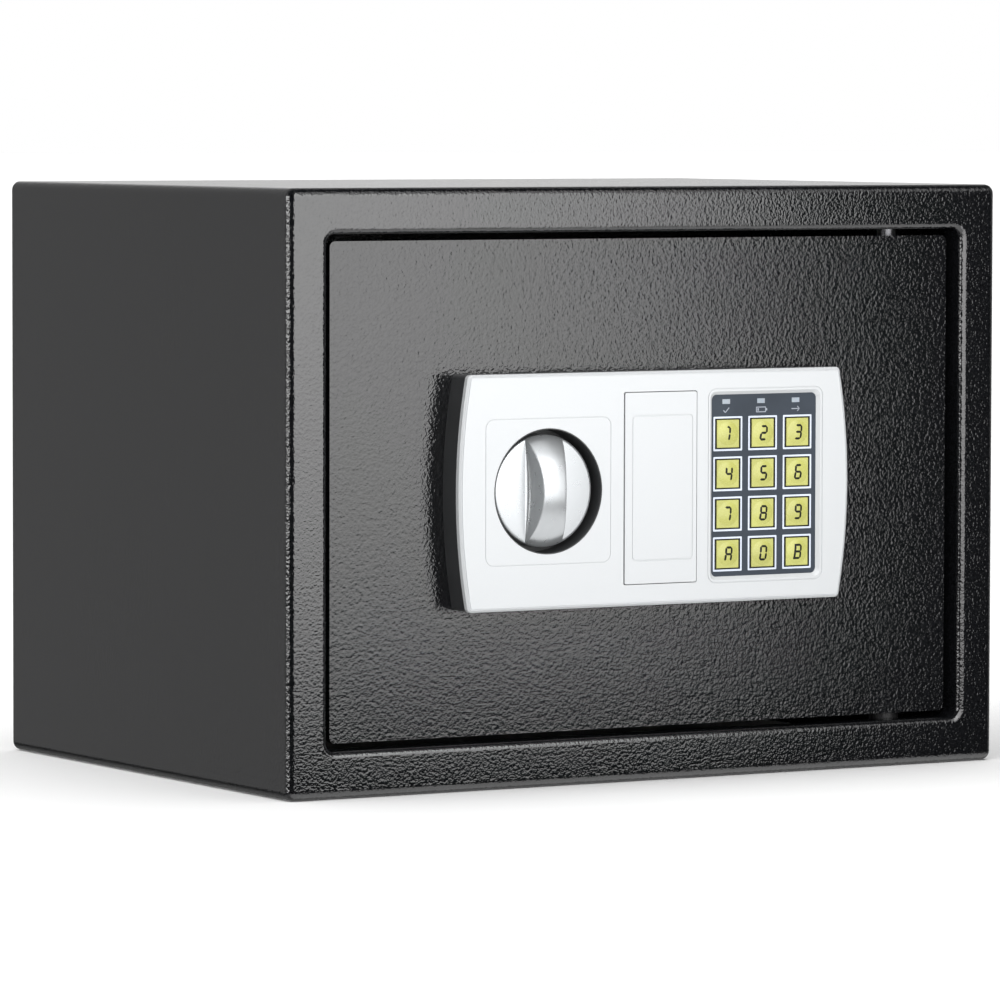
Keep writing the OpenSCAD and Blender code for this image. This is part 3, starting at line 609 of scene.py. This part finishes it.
# Ends of each stroke in a box that is 1 wide and 2 high, with (0, 0) at its lower left.
STROKES = {
    "top": ((0, 2), (1, 2)), "middle": ((0, 1), (1, 1)), "bottom": ((0, 0), (1, 0)),
    "upper_left": ((0, 1), (0, 2)), "upper_right": ((1, 1), (1, 2)),
    "lower_left": ((0, 0), (0, 1)), "lower_right": ((1, 0), (1, 1)),
    "flag": ((0.45, 2), (1, 2)), "spine": ((0, 0), (0, 2)),
}
GLYPHS = {
    "1": "flag upper_right lower_right",
    "2": "top upper_right middle lower_left bottom",
    "3": "top upper_right middle lower_right bottom",
    "4": "upper_left middle upper_right lower_right",
    "5": "top upper_left middle lower_right bottom",
    "6": "top upper_left middle lower_left lower_right bottom",
    "7": "top upper_right lower_right",
    "8": "top middle bottom upper_left upper_right lower_left lower_right",
    "9": "top upper_left upper_right middle lower_right bottom",
    "0": "top bottom upper_left upper_right lower_left lower_right",
    "a": "top middle upper_left upper_right lower_left lower_right",
    "b": "top middle bottom spine upper_right lower_right",
}
GLYPH_W, GLYPH_H, STROKE, SLANT = 2.75, 5.6, 0.95, 0.12
GLYPH_SHIFT = {"1": -1.1, "7": -0.6}  # along X, for numerals that lie to one side of their box


def stroke_bar(start, end, x, z, surface, square=False):
    """One stroke of a numeral. Its ends are pointed and leave a thin gap at each corner, or are square."""
    def place(column, row):
        up = (row - 1) * GLYPH_H / 2
        return x + (column - 0.5) * GLYPH_W + SLANT * up, z + up

    (x0, z0), (x1, z1) = place(*start), place(*end)
    length = hypot(x1 - x0, z1 - z0)
    ux, uz = (x1 - x0) / length, (z1 - z0) / length
    if square:
        reach = STROKE / 2
        count = 16
        stations = [(-reach + (length + 2 * reach) * k / count, 1) for k in range(count + 1)]
    else:
        tip, blunt = 0.07, 0.12
        full = tip + STROKE / 2
        stations = [(tip, blunt), (full, 1), (length / 2, 1), (length - full, 1), (length - tip, blunt)]
    path = []
    for along, width in stations:
        side = STROKE / 2 * width
        path.append((x0 + ux * along, z0 + uz * along, uz * side, -ux * side))
    return ribbon(path, surface)


def dome(x, z, front, flat_y):
    """Surface of a key's dome, which rises from flat_y to front."""
    radius, rise = 5.1, flat_y - front
    ball = (radius ** 2 + rise ** 2) / (2 * rise)

    def surface(px, pz):
        out = hypot(px - x, pz - z)
        return flat_y if out >= radius else front + ball - sqrt(ball ** 2 - out ** 2)
    return surface


DOME_RISE = 0.9
KEY_NAMES = [f"key_{c}" for c in "123456789a0b"]


def key_middle(name):
    """X and Z of a key's middle."""
    low, high = node_box(name)
    return (low.x + high.x) / 2, (low.z + high.z) / 2


def legends():
    """The numeral on each key, riding on its key."""
    for name in KEY_NAMES:
        x, z = key_middle(name)
        front = node_box(name)[0].y
        surface = dome(x, z, front, front + DOME_RISE)
        left = x + GLYPH_SHIFT.get(name[-1], 0)
        bars = [stroke_bar(*STROKES[s], left, z, surface, s == "spine") for s in GLYPHS[name[-1]].split()]
        build(f"legend_{name[-1]}", *join(*bars), name, "black_plastic", "legend_black")


def frame_ring(x, z, outer, inner, radius, y, rise=0.03):
    """A flat frame from the outer size to the inner size: a printed one, or a dark ring of painted shade."""
    sink, least_r = 0.05, 0.05
    inner_r = max(radius - (outer[0] - inner[0]) / 2, least_r)
    corners = [(outer, radius, y + sink), (outer, radius, y - rise), (inner, inner_r, y - rise),
               (inner, inner_r, y + sink)]
    return loft([rectangle_ring(*size, r, x, depth, z, steps=4) for size, r, depth in corners], closed=True)


def overlay_print():
    """White frames round the keys; dark rings inside them, partly the overlay's dark print and partly painted
    shade over the gap round each key; and the small signs under the indicator windows.
    """
    y = node_box("keypad_overlay")[0].y
    middles = [key_middle(name) for name in KEY_NAMES]
    outline, white_inner, gap_shade_inner = (14.45, 14.5), (12.9, 12.95), (11.32, 12.02)
    white = [frame_ring(x, z, outline, white_inner, 0.35, y) for x, z in middles]
    build("key_frames", *join(*white), "door", "overlay_film", "legend_white")
    # Dark rings from the white frame in to the key: partly the overlay's dark print beside the frame, partly
    # painted shade over the gap round the key and the key's edge.
    dark = [frame_ring(x, z, white_inner, gap_shade_inner, 0.2, y, 0.02) for x, z in middles]
    build("key_surrounds", *join(*dark), "door", "overlay_film", "legend_black")
    sign_z, window_shift = 155.6, -0.85
    tick_x, battery_x, arrow_x = (x + window_shift for x, _ in middles[:3])

    def line(middle, x0, z0, x1, z1, width=0.40):
        """A stroke of a sign, with its ends given from the sign's middle."""
        length = hypot(x1 - x0, z1 - z0)
        dx, dz = (z1 - z0) / length * width / 2, -(x1 - x0) / length * width / 2
        return ribbon([(middle + x0, sign_z + z0, dx, dz), (middle + x1, sign_z + z1, dx, dz)], flat(y))

    signs = [line(tick_x, -1.4, 0, -0.45, -0.95), line(tick_x, -0.45, -0.95, 1.45, 1.1)]
    signs += [frame_ring(battery_x, sign_z, (5.0, 2.4), (4.2, 1.6), 0.3, y)]
    signs += [line(battery_x, 2.5, 0, 3.1, 0, 1.0), line(battery_x, -1.8, 0, -1.1, 0, 1.1)]
    signs += [line(arrow_x, -2.1, 0, 1.9, 0)]
    signs += [line(arrow_x, 0.9, end, 2.0, -0.06 * end) for end in (1.0, -1.0)]
    build("indicator_signs", *join(*signs), "door", "overlay_film", "legend_grey")


# ---- Looks of the carried-over nodes ----

# The hinge pins take the darkened steel, painted shade for the gap they sit in.
OWN_LOOK = {"hinge_pin_upper": "pin_steel_shaded", "hinge_pin_lower": "pin_steel_shaded", "door_plate": "door_paint"}


def dress():
    """Gives every CAD node the material of its slot, or its own look."""
    for part in frame["record"]["subparts"]:
        node = NODES[part["node"]]
        node.data.materials.clear()
        look = OWN_LOOK.get(part["node"], part["material_slot"])
        node.data.materials.append(MATERIALS[look])


SOFTENED = {  # edge radius in millimetres: nodes
    0.6: ["door_plate"],
    0.35: ["door_pan", "back_cover", "hinge_brackets", "hinge_lugs", "panel_base", "battery_lid",
           "carriage_plate"],
    0.25: ["back_panel", "cover_screws", "bolts", "crank", "lock_nut", "lock_cam", "battery_box",
           "hinge_washer", "solenoid_frame", "guide_studs", "hinge_pin_upper", "hinge_pin_lower",
           "reset_button", "reset_switch", "panel_screws", "crank_screw", "cam_screw", "spindle_bush",
           "key_cover", "buzzer", "spindle"],
    0.15: ["lock_barrel", "lock_plug", "keypad_board", "lead_grommet", "guide_clips", "plunger",
           *KEY_NAMES],
    0.08: ["keypad_overlay", "led_windows", "battery_contacts", "batteries", "solenoid_coil"],
}


def soften():
    """Rounds the sharp edges of the CAD nodes."""
    for width, names in SOFTENED.items():
        for name in names:
            node = NODES[name]
            weld = node.modifiers.new("weld", "WELD")
            weld.merge_threshold = 1e-6
            bevel = node.modifiers.new("edges", "BEVEL")
            bevel.width = width * MM
            bevel.segments = 3
            bevel.limit_method = "ANGLE"
            bevel.angle_limit = radians(38)
            weighted_normals(node)


# ---- Stage ----


def area_light(name, place, target, width, height, power):
    """A white rectangular light that faces its target and that the camera doesn't see."""
    data = bpy.data.lights.new(name, "AREA")
    data.shape = "RECTANGLE"
    data.size, data.size_y = width, height
    data.energy = power
    light = bpy.data.objects.new(name, data)
    bpy.context.scene.collection.objects.link(light)
    light.location = place
    light.rotation_euler = (Vector(target) - Vector(place)).to_track_quat("-Z", "Y").to_euler()
    light.visible_camera = False
    return light


def spare_the_floor(light, ground):
    """Keeps a light off the floor, so that the floor stays evenly white up to the contact shadow."""
    lit = bpy.data.collections.new(light.name + "_lights")
    lit.objects.link(ground)
    lit.collection_objects[0].light_linking.link_state = "EXCLUDE"
    light.light_linking.receiver_collection = lit


# The soft boxes share their upper left corner, (x, z), and add up to a light that fades to the right and
# below. They stand 2 mm apart, since lights in one plane take light from each other. Each is (y, right edge,
# lower edge, brightness), with places in metres.
SOFT_BOX_CORNER = (-0.33, 0.62)
SOFT_BOXES = [(-0.620, 0.395, -0.03, 1.95), (-0.622, 0.33, 0.05, 0.70), (-0.624, 0.21, 0.13, 0.55)]


def studio():
    """A white floor and room, soft boxes close to the front and a light from straight above."""
    floor = bpy.data.materials.new("floor")
    floor.use_nodes = True
    paper = floor.node_tree.nodes["Principled BSDF"]
    paper.inputs["Base Color"].default_value = (0.90, 0.90, 0.90, 1)
    paper.inputs["Roughness"].default_value = 0.9
    paper.inputs["Specular IOR Level"].default_value = 0.0
    floor_size, floor_z = 60, -0.0001  # metres, and just under the cabinet
    bpy.ops.mesh.primitive_plane_add(size=floor_size, location=(0, 0, floor_z))
    ground = bpy.context.object
    ground.name = "floor"
    ground.data.materials.append(floor)
    ground.visible_glossy = False
    left_edge, top_edge = SOFT_BOX_CORNER
    for in_front, right_edge, low_edge, level in SOFT_BOXES:
        width, height = right_edge - left_edge, top_edge - low_edge
        middle_x, middle_z = (left_edge + right_edge) / 2, (low_edge + top_edge) / 2
        box = area_light("soft_box", (middle_x, in_front, middle_z), (middle_x, 0, middle_z),
                         width, height, level * pi * width * height)
        spare_the_floor(box, ground)
    data = bpy.data.lights.new("overhead", "SUN")
    data.energy = 2.45
    data.angle = radians(70)
    overhead = bpy.data.objects.new("overhead", data)
    bpy.context.scene.collection.objects.link(overhead)
    overhead.visible_glossy = False
    room_light()
    bpy.context.scene.view_settings.view_transform = "Standard"


def room_light():
    """A white backdrop for the camera, a low light for matt surfaces and a room for glossy ones to reflect.

    The room glows behind the safe, above, below and to its right, most of all in a strip to its left, and is
    dark elsewhere.
    """
    world = bpy.data.worlds.new("studio")
    bpy.context.scene.world = world
    world.use_nodes = True
    tree = world.node_tree
    tree.nodes.clear()

    def node(kind, **inputs):
        made = tree.nodes.new(kind)
        for socket, value in inputs.items():
            made.inputs[socket.replace("_", " ")].default_value = value
        return made

    direction = node("ShaderNodeTexCoord").outputs["Generated"]

    def glow(towards, start, full, level, dim=0.0):
        """Brightness from dim to level as the direction nears an aim, between the cosines start and full."""
        closeness = node("ShaderNodeVectorMath")
        closeness.operation = "DOT_PRODUCT"
        closeness.inputs[1].default_value = Vector(towards).normalized()
        tree.links.new(direction, closeness.inputs[0])
        rise = node("ShaderNodeMapRange", From_Min=start, From_Max=full, To_Min=dim, To_Max=level)
        rise.interpolation_type = "SMOOTHSTEP"
        tree.links.new(closeness.outputs["Value"], rise.inputs["Value"])
        return rise.outputs["Result"]

    def combine(operation, first, second):
        made = node("ShaderNodeMath")
        made.operation = operation
        tree.links.new(first, made.inputs[0])
        tree.links.new(second, made.inputs[1])
        return made.outputs["Value"]

    not_low = glow((0, 0, 1), -0.32, -0.14, 1.0)
    behind = combine("MULTIPLY", glow((0, 1, 0), 0.15, 0.5, 0.34), not_low)
    far_right = combine("MULTIPLY", glow((0.51, 0.86, 0), 0.75, 0.98, 0.70), not_low)
    strip = combine("MULTIPLY", glow((-1, 0.03, 0), 0.90, 0.96, 5.0), glow((0, 0, 1), -0.13, 0.05, 1.0))
    above = glow((0.25, -0.65, 0.72), 0.86, 1.0, 1.6)
    below = combine("MULTIPLY", glow((0, 0, -1), 0.25, 0.6, 1.2), glow((0.3, -0.95, 0), -0.3, 0.3, 1.0))
    right = glow((1, 0.3, 0.1), 0.75, 1.0, 0.35)
    under = glow((0, 0, -1), 0.25, 0.6, 0.35)
    total = behind
    for source in (far_right, strip, above, below, right, under):
        total = combine("MAXIMUM", total, source)
    path = node("ShaderNodeLightPath")
    room = node("ShaderNodeBackground")
    tree.links.new(total, room.inputs["Strength"])
    even = node("ShaderNodeBackground")
    from_left = glow((-0.9, -0.3, 0.2), 0.3, 1.0, 1.34, dim=0.24)
    tree.links.new(from_left, even.inputs["Strength"])
    backdrop = node("ShaderNodeBackground", Strength=1.0)
    for background in (room, even, backdrop):
        background.inputs["Color"].default_value = (1, 1, 1, 1)
    matt = node("ShaderNodeMixShader")
    tree.links.new(path.outputs["Is Diffuse Ray"], matt.inputs["Fac"])
    tree.links.new(room.outputs["Background"], matt.inputs[1])
    tree.links.new(even.outputs["Background"], matt.inputs[2])
    seen = node("ShaderNodeMixShader")
    tree.links.new(path.outputs["Is Camera Ray"], seen.inputs["Fac"])
    tree.links.new(matt.outputs["Shader"], seen.inputs[1])
    tree.links.new(backdrop.outputs["Background"], seen.inputs[2])
    output = node("ShaderNodeOutputWorld")
    tree.links.new(seen.outputs["Shader"], output.inputs["Surface"])


def camera():
    """The view from the front left, with a long lens. Places are in metres."""
    data = bpy.data.cameras.new("camera")
    data.sensor_width = 36
    data.lens = 233.26
    data.clip_end = 50
    view = bpy.data.objects.new("camera", data)
    bpy.context.scene.collection.objects.link(view)
    view.location = (-1.4516, -2.4221, 0.2840)
    view.rotation_euler = (radians(90 - 3.493), radians(-0.127), radians(-30.923))
    bpy.context.scene.camera = view


camera()
studio()
cabinet()
mat()
knob()
plate()
spring()
legends()
overlay_print()
dress()
soften()
